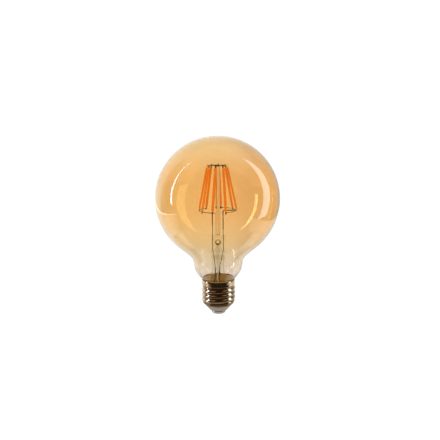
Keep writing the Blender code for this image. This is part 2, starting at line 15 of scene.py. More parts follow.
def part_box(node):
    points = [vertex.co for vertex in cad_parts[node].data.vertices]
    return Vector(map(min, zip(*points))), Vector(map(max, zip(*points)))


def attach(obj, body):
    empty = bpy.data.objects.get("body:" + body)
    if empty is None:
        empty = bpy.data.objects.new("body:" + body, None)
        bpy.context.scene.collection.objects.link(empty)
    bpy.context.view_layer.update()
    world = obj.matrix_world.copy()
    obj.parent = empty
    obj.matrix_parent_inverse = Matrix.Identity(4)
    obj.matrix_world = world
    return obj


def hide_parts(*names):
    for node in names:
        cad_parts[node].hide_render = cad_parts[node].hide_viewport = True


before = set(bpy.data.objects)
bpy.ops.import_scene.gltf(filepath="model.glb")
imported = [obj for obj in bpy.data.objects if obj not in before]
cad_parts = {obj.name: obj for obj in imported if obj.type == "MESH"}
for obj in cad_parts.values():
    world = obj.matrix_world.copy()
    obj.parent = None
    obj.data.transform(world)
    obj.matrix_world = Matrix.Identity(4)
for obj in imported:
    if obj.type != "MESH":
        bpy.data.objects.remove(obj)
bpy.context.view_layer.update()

MM = 0.001
ON_AXIS = 1e-7  # nearer to the axis than this is on it

# Sizes: the boxes are read from the frame, and the rest repeat its parts' driving dimensions
GLOBE_LOW, GLOBE_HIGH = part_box("globe")
GLOBE_RADIUS = (GLOBE_HIGH.x - GLOBE_LOW.x) / 2
TOP_Z = GLOBE_HIGH.z
NECK_END_Z = GLOBE_LOW.z
CENTRE_Z = TOP_Z - GLOBE_RADIUS
GLASS_WALL = 1.0 * MM
NECK_RADIUS = 19.1 * MM
NECK_END_RADIUS = 10.6 * MM

PRESS_TOP_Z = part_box("stem_flare")[1].z
PRESS_HALF_WIDTH = 5.5 * MM
PRESS_HALF_DEPTH = 2.2 * MM
STEM_TUBE_RADIUS = 4.9 * MM
STEM_BORE_RADIUS = 4.0 * MM
BLOW_HOLE_Z = 57.0 * MM
BLOW_HOLE_RADIUS = 1.7 * MM
BLOW_LIP_RADIUS = 0.38 * MM
EXHAUST_RADIUS = 1.6 * MM
EXHAUST_BORE_RADIUS = 0.95 * MM
EXHAUST_GAP = 0.3 * MM
CHANNEL_GAP = 0.1 * MM
ROD_RADIUS = 2.0 * MM

STAR_FIRST_AZIMUTH = -144
STAR_SPACING = 45
FOOT_AZIMUTHS = (-142, -104, -52, -15, 25, 88, 127, 170)
FILAMENT_LENGTH = 32.4 * MM
FILAMENT_WIDTH = 2.1 * MM
FILAMENT_DEPTH = 1.5 * MM
FILAMENT_TOP = Vector((7.65, 115.2)) * MM
FILAMENT_FOOT = Vector((14.65, 81.5)) * MM
TAB_LENGTH = 2.3 * MM
TAB_WIDTH = 0.9 * MM
TAB_THICKNESS = 0.25 * MM
TAB_GAP = 0.1 * MM
STAR_Z = 115.7 * MM
STAR_ARM_RADIUS = 6.8 * MM
STAR_LEG_LENGTH = 1.5 * MM
LOWER_RING_RADIUS = 13.9 * MM
LOWER_RING_Z = 81.5 * MM
RING_WIRE_RADIUS = 0.25 * MM
FRAME_WIRE_RADIUS = 0.35 * MM
LEAD_WIRE_RADIUS = 0.22 * MM
DARK_SLEEVE_RADIUS = 0.4 * MM
PALE_SLEEVE_RADIUS = 0.3 * MM
FRAME_WIRE_X = 4.1 * MM
FRAME_WIRE_FORWARD = 0.75 * MM
RING_ANGLES = {"left": (-145, -8), "right": (23, 176)}

CAP_RIM_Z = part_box("cap_shell")[1].z
CAP_BAND_RADIUS = 12.8 * MM
CAP_WALL = 0.3 * MM
THREAD_CREST_RADIUS = 13.1 * MM
THREAD_ROOT_RADIUS = 12.13 * MM
THREAD_PITCH = 25.4 * MM / 7
THREAD_TOP_Z = 22.6 * MM
THREAD_BOTTOM_Z = 9.4 * MM
THREAD_CREST_Z = 17.0 * MM

# Camera, which looks along +Y and a little down: angles in degrees, lens and sensor in millimetres
CAMERA_PLACE = (1.75 * MM, -446.7 * MM, 153.2 * MM)
CAMERA_PITCH = 10.07
CAMERA_ROLL = 0.6
LENS = 48.45
SENSOR = 36.0

# Studio. It is white to look at and through glass, and reflections see a dark room with a pale
# backdrop. A tone's place there is an azimuth in degrees (WALL_TONES, NEAR_TABLE, FAR_TABLE,
# SKIRT_SIDES), a direction's Z or Y (WALL_FALLOFF and CEILING_TONES, CEILING_DEPTH), or metres on
# the floor from the bulb (NEAR_REACH, FAR_REACH, TABLE_CORE, TABLE_SKIRT) or along +X (ON_TABLE,
# OFF_TABLE).
WHITE = (1.08, 1.08, 1.08, 1.0)
FLOOR_BASE = (0.01, 0.01, 0.01, 1.0)
FLOOR_HALF_SIZE = 4.0
TABLE_REACH = 0.2
WALL_TONES = (
    (-180, (1.0, 0.98, 0.94)),
    (-126, (1.0, 0.98, 0.95)),
    (-115, (0.35, 0.32, 0.28)),
    (-98, (0.12, 0.1, 0.08)),
    (-60, (0.02, 0.013, 0.008)),
    (70, (0.02, 0.013, 0.008)),
    (100, (0.08, 0.06, 0.04)),
    (118, (0.22, 0.19, 0.15)),
    (136, (0.45, 0.41, 0.36)),
    (165, (0.75, 0.72, 0.68)),
    (180, (1.0, 0.98, 0.94)),
)
WALL_FALLOFF = ((-1.0, 1.0), (0.3, 1.0), (0.75, 0.5), (1.0, 0.4))
CEILING_TONES = ((-1.0, 0), (0.55, 0), (0.75, (0.5, 0.47, 0.42)), (1.0, (0.5, 0.47, 0.42)))
CEILING_DEPTH = (
    (-1.0, 0.0),
    (-0.52, (0.02, 0.01, 0.0)),
    (-0.42, (0.6, 0.4, 0.2)),
    (-0.2, (0.5, 0.42, 0.3)),
    (0.1, 0.9),
    (1.0, 1.0),
)
NEAR_TABLE = (
    (-180, (0.9, 0.88, 0.84)),
    (-130, (0.85, 0.81, 0.76)),
    (-112, (0.8, 0.73, 0.64)),
    (-100, (0.5, 0.43, 0.34)),
    (-92, (0.6, 0.54, 0.45)),
    (-84, (0.95, 0.9, 0.84)),
    (-75, (0.85, 0.8, 0.72)),
    (-67, (0.25, 0.19, 0.13)),
    (-55, (0.16, 0.11, 0.07)),
    (-46, (0.015, 0.008, 0.004)),
    (70, (0.015, 0.008, 0.004)),
    (78, (0.85, 0.82, 0.78)),
    (98, (0.9, 0.87, 0.83)),
    (108, (0.75, 0.7, 0.63)),
    (120, (0.7, 0.64, 0.56)),
    (140, (0.85, 0.81, 0.75)),
    (180, (0.9, 0.88, 0.84)),
)
# NEAR_REACH dims the near table close to the bulb: a painted shadow of the bulb, which reflections see
NEAR_REACH = ((0.0, 0.1), (0.03, 0.15), (0.05, 0.7), (0.065, 1.0), (0.1, 1.0), (0.12, 0.0))
FAR_TABLE = (
    (-180, (0.9, 0.9, 0.88)),
    (-130, (1.0, 1.0, 0.98)),
    (-100, (0.95, 0.94, 0.92)),
    (-86, (0.8, 0.78, 0.74)),
    (-70, (0.02, 0.012, 0.006)),
    (54, (0.02, 0.012, 0.006)),
    (66, (0.75, 0.76, 0.74)),
    (110, (0.75, 0.76, 0.74)),
    (140, (0.8, 0.8, 0.78)),
    (180, (0.9, 0.9, 0.88)),
)
FAR_REACH = ((0.0, 0.0), (0.09, 0.0), (0.11, 1.0))
ON_TABLE = ((-0.284, 0), (-0.279, 4.0), (-0.262, 1.1), (-0.1, 1), (0.178, 1), (0.186, 0))
OFF_TABLE = ((-0.284, 1), (-0.280, 0), (0.178, 0), (0.186, 1))
TABLE_CORE = (
    (0.0, (0.5, 0.49, 0.43)),
    (0.010, (0.5, 0.49, 0.43)),
    (0.014, (0.15, 0.1, 0.06)),
    (0.045, (0.12, 0.08, 0.05)),
    (0.055, 0.0),
)
TABLE_SKIRT = (
    (0.0, (0.5, 0.48, 0.41)),
    (0.031, (0.5, 0.48, 0.41)),
    (0.045, (0.12, 0.1, 0.08)),
    (0.055, 0.0),
)
SKIRT_SIDES = ((-68, 1), (-38, 0.1), (45, 0.1), (75, 1))
# The two light panels' corners in millimetres
LEFT_STRIP = ((-342, -40, 50), (-673, -8, 38), (-673, 40, 760), (-342, 17, 612))
RIGHT_SOFTBOX = (
    (136, -47, 22),
    (180, 6, 26),
    (206, 37, 108),
    (217, 51, 205),
    (214, 47, 291),
    (203, 34, 425),
    (170, -6, 235),
    (155, -24, 140),
)


# Node helpers


class Nodes:
    """A node tree, with short calls for what the finishes and the studio share."""

    def __init__(self, tree):
        self.tree = tree

    def add(self, kind, **settings):
        node = self.tree.nodes.new(kind)
        for key, value in settings.items():
            setattr(node, key, value)
        return node

    def link(self, start, end):
        self.tree.links.new(start, end)

    def ramp(self, value, stops):
        """A colour read at value from stops of a place from 0 to 1 and a colour or a grey."""
        node = self.add("ShaderNodeValToRGB")
        elements = node.color_ramp.elements
        while len(elements) < len(stops):
            elements.new(0.5)
        for element, (place, tone) in zip(elements, stops):
            element.position = place
            element.color = (*tone, 1.0) if isinstance(tone, tuple) else (tone, tone, tone, 1.0)
        self.link(value, node.inputs["Fac"])
        return node.outputs["Color"]

    def spread(self, value, low, high, start=0.0, end=1.0):
        """low where value is start, high where it is end."""
        node = self.add("ShaderNodeMapRange")
        for key, number in (("From Min", start), ("From Max", end), ("To Min", low), ("To Max", high)):
            node.inputs[key].default_value = number
        self.link(value, node.inputs["Value"])
        return node.outputs["Result"]

    def tones(self, value, stops, low, high):
        """A ramp over stops whose places lie between low and high."""
        stops = [((place - low) / (high - low), tone) for place, tone in stops]
        return self.ramp(self.spread(value, 0.0, 1.0, low, high), stops)

    def coordinate(self, vector, axis):
        split = self.add("ShaderNodeSeparateXYZ")
        self.link(vector, split.inputs["Vector"])
        return split.outputs[axis]

    def distance(self, vector):
        length = self.add("ShaderNodeVectorMath", operation="LENGTH")
        self.link(vector, length.inputs[0])
        return length.outputs["Value"]

    def azimuth(self, vector):
        """Degrees from the front, positive towards +X."""
        turn = self.add("ShaderNodeMapping")
        turn.inputs["Rotation"].default_value = (0.0, 0.0, pi / 2)
        radial = self.add("ShaderNodeTexGradient", gradient_type="RADIAL")
        self.link(vector, turn.inputs["Vector"])
        self.link(turn.outputs["Vector"], radial.inputs["Vector"])
        return self.spread(radial.outputs["Fac"], -180.0, 180.0)

    def blend(self, first, second, kind):
        node = self.add("ShaderNodeMix", data_type="RGBA", blend_type=kind)
        node.inputs["Factor"].default_value = 1.0
        self.link(first, node.inputs["A"])
        self.link(second, node.inputs["B"])
        return node.outputs["Result"]

    def product(self, first, second):
        return self.blend(first, second, "MULTIPLY")

    def lightest(self, first, second):
        return self.blend(first, second, "LIGHTEN")

    def mirrored(self):
        """1 on a path that a glossy surface has reflected, 0 on one that ran straight or through glass."""
        above = self.add("ShaderNodeMath", operation="GREATER_THAN")
        above.inputs[1].default_value = 0.5
        self.link(self.add("ShaderNodeLightPath").outputs["Glossy Depth"], above.inputs[0])
        return above.outputs["Value"]

    def white_or(self, tone):
        """White to look at and to see through glass, and tone in reflections."""
        node = self.add("ShaderNodeMix", data_type="RGBA")
        self.link(self.mirrored(), node.inputs["Factor"])
        node.inputs["A"].default_value = WHITE
        self.link(tone, node.inputs["B"])
        return node.outputs["Result"]


class Shader(Nodes):
    """A new material's nodes, round its Principled BSDF."""

    def __init__(self, name):
        self.material = bpy.data.materials.new(name)
        self.material.use_nodes = True
        super().__init__(self.material.node_tree)
        self.bsdf = self.tree.nodes["Principled BSDF"]
        self.coords = self.add("ShaderNodeTexCoord").outputs["Object"]

    def set(self, **values):
        for key, value in values.items():
            self.bsdf.inputs[key.replace("_", " ")].default_value = value

    def noise(self, scale, detail=3.0, roughness=0.5, stretch=None):
        node = self.add("ShaderNodeTexNoise")
        node.inputs["Scale"].default_value = scale
        node.inputs["Detail"].default_value = detail
        node.inputs["Roughness"].default_value = roughness
        start = self.coords
        if stretch:
            mapping = self.add("ShaderNodeMapping")
            mapping.inputs["Scale"].default_value = stretch
            self.link(self.coords, mapping.inputs["Vector"])
            start = mapping.outputs["Vector"]
        self.link(start, node.inputs["Vector"])
        return node.outputs["Fac"]

    def height(self, low, high):
        """0 at z = low, 1 at z = high."""
        return self.spread(self.coordinate(self.coords, "Z"), 0.0, 1.0, low, high)

    def from_axis(self, low, high):
        """0 at r = low from the bulb's axis, 1 at r = high."""
        flat = self.add("ShaderNodeVectorMath", operation="MULTIPLY")
        flat.inputs[1].default_value = (1.0, 1.0, 0.0)
        self.link(self.coords, flat.inputs[0])
        return self.spread(self.distance(flat.outputs["Vector"]), 0.0, 1.0, low, high)

    def bump(self, value, strength, distance):
        node = self.add("ShaderNodeBump")
        node.inputs["Strength"].default_value = strength
        node.inputs["Distance"].default_value = distance
        self.link(value, node.inputs["Height"])
        self.link(node.outputs["Normal"], self.bsdf.inputs["Normal"])

    def colour(self, output):
        self.link(output, self.bsdf.inputs["Base Color"])

    def glow(self, output):
        self.link(output, self.bsdf.inputs["Emission Color"])

    def roughness(self, output):
        self.link(output, self.bsdf.inputs["Roughness"])

    def mottle(self, value, dark, light, margin=0.3):
        """Colour that goes from dark to light, evening out at each end of value's range."""
        self.colour(self.ramp(value, ((margin, dark), (1 - margin, light))))


# Finishes


def amber_glass():
    """Amber film on clear glass: full over the globe and thin below the waist. Across it, a painted
    reflection pales the left edge and painted shade darkens the glass right of the middle.
    """
    shader = Shader("amber_glass")
    shader.set(Transmission_Weight=1.0, Roughness=0.0, IOR=1.6)
    up = shader.height(20 * MM, TOP_Z)
    heights = (
        (0.00, (0.91, 0.86, 0.79)),
        (0.10, (0.90, 0.83, 0.76)),
        (0.17, (0.90, 0.79, 0.64)),
        (0.25, (0.91, 0.77, 0.55)),
        (0.34, (0.945, 0.77, 0.51)),
        (0.42, (0.975, 0.74, 0.435)),
        (0.52, (0.985, 0.715, 0.395)),
        (0.60, (0.97, 0.705, 0.383)),
        (0.76, (0.968, 0.705, 0.39)),
        (0.86, (0.965, 0.745, 0.45)),
        (1.00, (0.965, 0.79, 0.52)),
    )
    across = shader.spread(shader.coordinate(shader.coords, "X"), 0.0, 1.0, -GLOBE_RADIUS, GLOBE_RADIUS)
    # Painted light across the globe: a reflection paling and bluing the left edge, and shade darkening it
    # right of the middle
    sides = (
        (0.0, (0.97, 1.09, 1.2)),
        (0.035, (0.97, 1.05, 1.12)),
        (0.08, (0.985, 0.985, 0.97)),
        (0.16, (1.0, 1.015, 1.03)),
        (0.3, 1.0),
        (0.6, (0.99, 0.985, 1.0)),
        (0.78, (0.95, 0.935, 0.955)),
        (0.93, (0.98, 0.97, 0.945)),
        (1.0, (1.0, 1.0, 0.95)),
    )
    shader.colour(shader.product(shader.ramp(up, heights), shader.ramp(across, sides)))
    return shader.material


def clear_glass():
    """The stem's glass: its thin-walled tube hardly bends light, and its solid press does."""
    shader = Shader("clear_glass")
    shader.set(Transmission_Weight=1.0, Roughness=0.0)
    thickness = shader.height(PRESS_TOP_Z - 7 * MM, PRESS_TOP_Z - 3 * MM)
    shader.link(shader.spread(thickness, 1.06, 1.22), shader.bsdf.inputs["IOR"])
    streaks = shader.noise(220.0, stretch=(1.0, 1.0, 0.06))
    shader.mottle(streaks, (0.90, 0.90, 0.86), (0.96, 0.96, 0.93))
    return shader.material


def rod_glass():
    """The rod's thicker, greyer glass with faint draw lines along it."""
    shader = Shader("rod_glass")
    shader.set(Transmission_Weight=1.0, IOR=1.35, Roughness=0.02)
    streaks = shader.noise(900.0, stretch=(1.0, 1.0, 0.05))
    shader.mottle(streaks, (0.84, 0.79, 0.76), (0.94, 0.91, 0.88), margin=0.35)
    return shader.material


def lip_glass():
    """Thick remelted glass, which looks darker than the stem's thin walls."""
    shader = Shader("lip_glass")
    shader.set(Transmission_Weight=1.0, IOR=1.5, Roughness=0.0)
    shader.mottle(shader.noise(900.0), (0.38, 0.31, 0.2), (0.5, 0.43, 0.3))
    return shader.material


def pale_sleeve():
    """A milky sleeve, whose glow stands for the light that it passes on."""
    shader = Shader("pale_sleeve")
    shader.set(Roughness=0.5, Emission_Strength=0.8, Emission_Color=(0.5, 0.38, 0.21, 1.0))
    shader.mottle(shader.noise(800.0), (0.5, 0.4, 0.26), (0.62, 0.52, 0.36))
    return shader.material


def phosphor():
    """Silicone full of phosphor: an orange with a painted glow that stands for the light reaching it through
    the glass, brighter in patches.
    """
    shader = Shader("phosphor")
    shader.set(Specular_IOR_Level=0.3, Emission_Strength=0.3)
    painted_glow_patches = shader.noise(700.0, 2.0)
    grain = shader.noise(2600.0, 4.0)
    shader.mottle(grain, (0.95, 0.33, 0.035), (1.0, 0.40, 0.055))
    # Painted glow: it stands for light reaching the strips through the glass, brighter in patches
    shader.glow(shader.ramp(painted_glow_patches, ((0.35, (0.92, 0.29, 0.02)), (0.65, (1.0, 0.40, 0.05)))))
    shader.roughness(shader.spread(grain, 0.42, 0.6))
    shader.bump(grain, 0.25, 0.05 * MM)
    return shader.material


def nickel_wire():
    """Drawn wire with a fine grain and dark patches of heat tint."""
    shader = Shader("nickel_wire")
    shader.set(Metallic=1.0)
    shader.mottle(shader.noise(500.0), (0.10, 0.06, 0.03), (0.62, 0.50, 0.36), margin=0.35)
    grain = shader.noise(5000.0, 2.0)
    shader.roughness(shader.spread(grain, 0.22, 0.4))
    shader.bump(grain, 0.15, 0.02 * MM)
    return shader.material


def cap_nickel():
    """Bright nickel over brass with fine rolling lines round the axis; painted shade darkens and browns the
    thread's grooves, and its crests are lightest.
    """
    shader = Shader("cap_nickel")
    shader.set(Metallic=1.0)
    depth = shader.from_axis(THREAD_ROOT_RADIUS, THREAD_CREST_RADIUS)
    # Painted shade: the colour darkens and browns from the thread's crests down to its roots
    tints = ((0.0, (0.44, 0.29, 0.14)), (0.5, (0.70, 0.54, 0.38)), (1.0, (0.82, 0.66, 0.50)))
    shader.colour(shader.ramp(depth, tints))
    lines = shader.noise(140.0, 2.0, stretch=(1.0, 1.0, 60.0))
    shader.roughness(shader.spread(lines, 0.05, 0.12))
    shader.bump(lines, 0.06, 0.05 * MM)
    return shader.material


def contact_metal():
    """Bright metal, rubbed and faintly marked by holders."""
    shader = Shader("contact_metal")
    shader.set(Metallic=1.0)
    marks = shader.noise(700.0, 5.0)
    shader.mottle(marks, (0.62, 0.60, 0.58), (0.82, 0.80, 0.78))
    shader.roughness(shader.spread(marks, 0.2, 0.42))
    shader.bump(marks, 0.2, 0.05 * MM)
    return shader.material


def insulator():
    """Warm grey moulded insulator, glossy, with a faint mottle."""
    shader = Shader("insulator")
    shader.set(Coat_Weight=0.3, Coat_Roughness=0.1)
    grain = shader.noise(450.0, 5.0)
    shader.mottle(grain, (0.22, 0.17, 0.135), (0.29, 0.23, 0.185))
    shader.roughness(shader.spread(grain, 0.25, 0.4))
    shader.bump(grain, 0.1, 0.05 * MM)
    return shader.material


def cement():
    """Ochre basing cement, finely pitted and darker on its outer lip, with a painted glow inside that stands
    for the neck's light.
    """
    shader = Shader("cement")
    grain = shader.noise(420.0, 6.0, 0.6)
    tints = ((0.3, (0.55, 0.32, 0.09)), (0.55, (0.72, 0.46, 0.16)), (0.75, (0.82, 0.58, 0.25)))
    out = shader.from_axis(11.7 * MM, 12.2 * MM)
    outer_lip_darkening = shader.ramp(out, ((0.0, 1.0), (1.0, (0.44, 0.33, 0.16))))
    shader.colour(shader.product(shader.ramp(grain, tints), outer_lip_darkening))
    # Painted glow: bright inside for the light coming down the neck, dim on the outer lip
    shader.glow(shader.ramp(out, ((0.0, (0.52, 0.31, 0.075)), (1.0, (0.08, 0.042, 0.006)))))
    pits = shader.noise(1900.0, 3.0)
    shader.set(Roughness=0.75, Emission_Strength=0.6)
    shader.bump(pits, 0.5, 0.15 * MM)
    return shader.material


def moulded(name, dark, light, roughness, scale=900.0, metallic=0.0, coat=0.0):
    """A moulded or painted finish: slight colour mottle, fine texture and a little uneven gloss."""
    shader = Shader(name)
    shader.set(Metallic=metallic, Coat_Weight=coat)
    grain = shader.noise(scale, 4.0)
    shader.mottle(grain, dark, light)
    shader.roughness(shader.spread(grain, roughness - 0.06, roughness + 0.08))
    shader.bump(grain, 0.15, 0.03 * MM)
    return shader.material


def winding_copper():
    """Enamelled copper laid in close turns."""
    shader = Shader("copper")
    shader.set(Metallic=1.0, Coat_Weight=0.4)
    grain = shader.noise(900.0, 3.0)
    shader.mottle(grain, (0.62, 0.24, 0.09), (0.78, 0.36, 0.16))
    shader.roughness(shader.spread(grain, 0.25, 0.38))
    turns = shader.add("ShaderNodeTexWave", wave_type="BANDS", bands_direction="Z")
    turns.inputs["Scale"].default_value = 700.0
    shader.link(shader.coords, turns.inputs["Vector"])
    shader.bump(turns.outputs["Fac"], 0.4, 0.06 * MM)
    return shader.material


# The dark and the light of each moulded or painted finish, its roughness, and what else it has
MOULDED = {
    "circuit_board": ((0.02, 0.13, 0.05), (0.04, 0.2, 0.09), 0.35, {"coat": 0.3}),
    "chip_black": ((0.012, 0.012, 0.013), (0.03, 0.03, 0.032), 0.5, {"scale": 2200.0}),
    "capacitor_sleeve": ((0.02, 0.025, 0.07), (0.035, 0.04, 0.1), 0.3, {"coat": 0.4}),
    "ferrite": ((0.03, 0.03, 0.033), (0.07, 0.07, 0.075), 0.6, {"scale": 1600.0}),
    "solder": ((0.55, 0.55, 0.57), (0.75, 0.75, 0.77), 0.22, {"scale": 800.0, "metallic": 1.0}),
    "resistor_body": ((0.2, 0.33, 0.45), (0.27, 0.42, 0.55), 0.4, {"coat": 0.3}),
    "wire_insulation": ((0.14, 0.1, 0.07), (0.2, 0.15, 0.11), 0.5, {}),
    "liner_plastic": ((0.68, 0.66, 0.61), (0.8, 0.78, 0.74), 0.45, {}),
}


def make_finishes():
    finishes = {
        "amber_glass": amber_glass(),
        "clear_glass": clear_glass(),
        "rod_glass": rod_glass(),
        "lip_glass": lip_glass(),
        "phosphor": phosphor(),
        "nickel_wire": nickel_wire(),
        "cap_nickel": cap_nickel(),
        "contact_metal": contact_metal(),
        "insulator": insulator(),
        "cement": cement(),
        "copper": winding_copper(),
        "pale_sleeve": pale_sleeve(),
    }
    for name, (dark, light, roughness, others) in MOULDED.items():
        finishes[name] = moulded(name, dark, light, roughness, **others)
    return finishes


# Mesh helpers


def new_object(name, data):
    obj = bpy.data.objects.new(name, data)
    bpy.context.scene.collection.objects.link(obj)
    return obj


def new_piece(name, mesh, slot, *nodes, finish=None):
    """A piece that rides on the bulb, stands for those CAD nodes and has the slot's finish or its own."""
    obj = new_object(name, mesh)
    obj.data.materials.append(FINISHES[finish or slot])
    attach(obj, "root")
    if nodes:
        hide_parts(*nodes)
    return obj


def mesh_from(build, name, smooth=True):
    bmesh.ops.recalc_face_normals(build, faces=build.faces)
    mesh = bpy.data.meshes.new(name)
    build.to_mesh(mesh)
    build.free()
    if smooth:
        mesh.shade_smooth()
    return mesh


def ring_angles(sides):
    return [2 * pi * i / sides for i in range(sides)]


def at_azimuth(radius, azimuth, z):
    angle = radians(azimuth)
    return Vector((radius * sin(angle), -radius * cos(angle), z))


def arc_points(centre, radius, start, end, count):
    """Points (r, z) on an arc about centre, from one angle to the other, in degrees above +r."""
    angles = [radians(start + (end - start) * i / count) for i in range(count + 1)]
    return [(centre[0] + radius * cos(a), centre[1] + radius * sin(a)) for a in angles]


def curve_points(start, start_handle, end_handle, end, count):
    """Points (r, z) on a Bezier curve given in millimetres, leaving out the first one."""
    knots = [Vector((r * MM, z * MM, 0.0)) for r, z in (start, start_handle, end_handle, end)]
    return [(p.x, p.y) for p in interpolate_bezier(*knots, count + 1)[1:]]


def in_mm(*points):
    return [(r * MM, z * MM) for r, z in points]


def offset_outline(outline, distance):
    """The outline moved sideways: outwards for a positive distance, where it runs down its outer side."""
    moved = []
    for i, (r, z) in enumerate(outline):
        before = outline[max(i - 1, 0)]
        after = outline[min(i + 1, len(outline) - 1)]
        run = Vector((after[0] - before[0], after[1] - before[1])).normalized()
        moved.append((max(r - run.y * distance, 0.0), z + run.x * distance))
    return moved


def corner_points(start, corner, end, steps):
    """Points that round a corner from start to end."""
    times = [step / steps for step in range(steps + 1)]
    return [start * (1 - t) ** 2 + corner * 2 * t * (1 - t) + end * t**2 for t in times]


def rounded(outline, radius, steps=4):
    """A closed outline with each corner rounded."""
    result = []
    count = len(outline)
    for i, corner in enumerate(outline):
        corner = Vector(corner)
        before = Vector(outline[i - 1]) - corner
        after = Vector(outline[(i + 1) % count]) - corner
        cut = min(radius, before.length * 0.45, after.length * 0.45)
        start, end = corner + before.normalized() * cut, corner + after.normalized() * cut
        result += [(point.x, point.y) for point in corner_points(start, corner, end, steps)]
    return result


def bridge(build, first, second, sides):
    """Faces between two rings, either of which may be a single point."""
    for i in range(sides):
        j = (i + 1) % sides
        corners = [first[i % len(first)], first[j % len(first)]]
        corners += [second[j % len(second)], second[i % len(second)]]
        unique = list(dict.fromkeys(corners))
        if len(unique) > 2:
            build.faces.new(unique)


def turned_mesh(name, outline, segments, closed=True, shape=None):
    """A body turned about Z from (r, z) points. shape(r, angle, z) may move each point."""
    build = bmesh.new()
    rings = []
    for r, z in outline:
        if r < ON_AXIS:
            rings.append([build.verts.new((0.0, 0.0, z))])
            continue
        ring = []
        for angle in ring_angles(segments):
            radius, height = shape(r, angle, z) if shape else (r, z)
            ring.append(build.verts.new((radius * cos(angle), radius * sin(angle), height)))
        rings.append(ring)
    pairs = list(zip(rings, rings[1:]))
    if closed:
        pairs.append((rings[-1], rings[0]))
    for first, second in pairs:
        bridge(build, first, second, segments)
    return mesh_from(build, name)


def lofted_mesh(name, loops):
    """A closed body through loops of equal count."""
    build = bmesh.new()
    rings = [[build.verts.new(point) for point in loop] for loop in loops]
    for first, second in zip(rings, rings[1:]):
        bridge(build, first, second, len(first))
    build.faces.new(rings[0])
    build.faces.new(rings[-1])
    return mesh_from(build, name)


def smooth_path(corners, bend, steps=6):
    """Corner points joined by straight runs, with each inner corner rounded."""
    points = [Vector(corners[0])]
    for before, corner, after in zip(corners, corners[1:], corners[2:]):
        corner, before, after = Vector(corner), Vector(before), Vector(after)
        start = corner + (before - corner).normalized() * bend
        end = corner + (after - corner).normalized() * bend
        points += corner_points(start, corner, end, steps)
    points.append(Vector(corners[-1]))
    return points


def tube_mesh(name, points, radius, sides=14, end_round=0.35):
    """A round wire swept along points, with slightly rounded cut ends."""
    runs = [(b - a).normalized() for a, b in zip(points, points[1:])]
    tangents = [runs[0], *[(a + b).normalized() for a, b in zip(runs, runs[1:])], runs[-1]]
    side = tangents[0].orthogonal().normalized()
    inset = radius * end_round
    stations = [
        (points[0], tangents[0], radius - inset),
        (points[0] + tangents[0] * inset, tangents[0], radius),
        *((point, tangent, radius) for point, tangent in zip(points[1:-1], tangents[1:-1])),
        (points[-1] - tangents[-1] * inset, tangents[-1], radius),
        (points[-1], tangents[-1], radius - inset),
    ]
    loops = []
    for point, tangent, size in stations:
        side = (side - tangent * side.dot(tangent)).normalized()
        other = tangent.cross(side)
        loops.append([point + (side * cos(a) + other * sin(a)) * size for a in ring_angles(sides)])
    return lofted_mesh(name, loops)


def oval_point(half_width, half_depth, squareness, angle):
    """A point on a superellipse, round at squareness 2 and boxier above it."""
    c, s = cos(angle), sin(angle)
    x = half_width * abs(c) ** (2 / squareness) * (1 if c >= 0 else -1)
    y = half_depth * abs(s) ** (2 / squareness) * (1 if s >= 0 else -1)
    return x, y


def catmull_rom(p, q, r, s, t):
    """A value between q and r, eased by p before them and s after them."""
    square = 2 * p - 5 * q + 4 * r - s
    cube = 3 * q - p - 3 * r + s
    return 0.5 * (2 * q + (r - p) * t + square * t**2 + cube * t**3)


def smooth_sections(knots, steps):
    """Sections between knots (tuples of equal length), eased with a Catmull-Rom spline."""
    result = []
    count = len(knots)
    for i in range(count - 1):
        a, b, c, d = knots[max(i - 1, 0)], knots[i], knots[i + 1], knots[min(i + 2, count - 1)]
        for step in range(steps):
            result.append(tuple(catmull_rom(*values, step / steps) for values in zip(a, b, c, d)))
    result.append(knots[-1])
    return result


# Envelope and stem


def globe_outline(arc_steps, curve_steps):
    """The CAD envelope's outer outline, from the crown down to the sealing end."""
    waist, neck = (31.0, 54.5), (NECK_RADIUS / MM, 41.5)
    throat, end = (13.6, 29.0), (NECK_END_RADIUS / MM, 24.8)
    leaving = atan2(waist[1] * MM - CENTRE_Z, waist[0] * MM)
    outline = arc_points((0.0, CENTRE_Z), GLOBE_RADIUS, 90, leaving * 180 / pi, arc_steps)
    outline += curve_points(waist, (24.4, 48.9), (19.6, 45.7), neck, curve_steps)
    outline += curve_points(neck, (19.05, 36.2), (17.2, 32.6), throat, curve_steps)
    outline += curve_points(throat, (12.4, 27.9), (10.6, 27.4), end, curve_steps)
    outline.append((NECK_END_RADIUS, NECK_END_Z + 0.5 * MM))
    return outline


def build_globe():
    """Blown envelope with its real wall, and a rounded edge where it is sealed to the stem."""
    outer = globe_outline(72, 16)
    inner = offset_outline(outer, -GLASS_WALL)
    inner[0] = (0.0, TOP_Z - GLASS_WALL)
    end_r = NECK_END_RADIUS - GLASS_WALL / 2
    lip = arc_points((end_r, NECK_END_Z + 0.5 * MM), GLASS_WALL / 2, 0, -180, 6)[1:-1]
    outline = [*outer, *lip, *reversed(inner)]
    mesh = turned_mesh("globe_glass", outline, 160, closed=False)
    new_piece("globe_glass", mesh, "amber_glass", "globe")


def apply_booleans(obj, cutters):
    """Cuts the cutters out of obj, and leaves a plain mesh."""
    for cutter in cutters:
        modifier = obj.modifiers.new("Cut", "BOOLEAN")
        modifier.operation = "DIFFERENCE"
        modifier.solver = "EXACT"
        modifier.object = cutter
    bpy.context.view_layer.update()
    graph = bpy.context.evaluated_depsgraph_get()
    mesh = bpy.data.meshes.new_from_object(obj.evaluated_get(graph))
    obj.modifiers.clear()
    obj.data = mesh
    for cutter in cutters:
        bpy.data.objects.remove(cutter)


def cutter_from(mesh, place=(0.0, 0.0, 0.0), turn=(0.0, 0.0, 0.0)):
    obj = new_object(mesh.name, mesh)
    obj.location = place
    obj.rotation_euler = turn
    return obj


